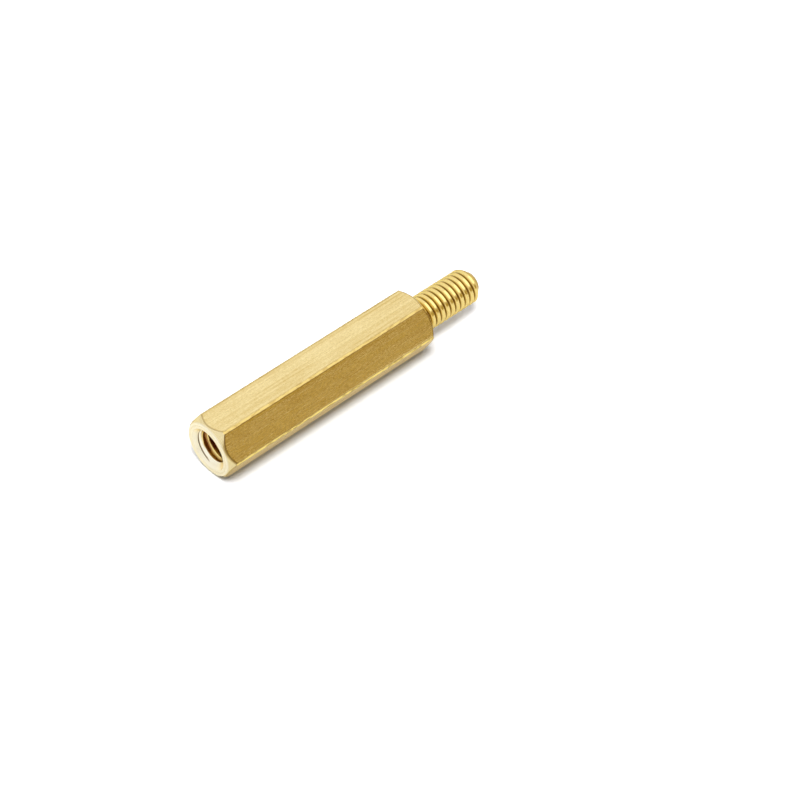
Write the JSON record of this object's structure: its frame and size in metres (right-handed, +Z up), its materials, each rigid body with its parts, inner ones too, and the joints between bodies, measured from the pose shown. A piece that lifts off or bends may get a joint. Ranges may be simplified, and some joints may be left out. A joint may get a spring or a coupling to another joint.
{
  "type": "hex standoff",
  "caption": "Male-female hexagonal brass standoff: a pillar with a threaded stud at one end and a tapped hole in the other, lying on one flat.",
  "frame": {"origin": "centre of the tapped end's face, on the axis", "axes": "+X along the axis from the tapped end to the stud; +Z up, square to the flat it lies on; Y across the edges"},
  "size_m": [0.026, 0.005, 0.0046],
  "materials": {
    "brass": "bare drawn bar, turned ends"
  },
  "bodies": {
    "root": {"standoff": "brass"}
  },
  "joints": []
}
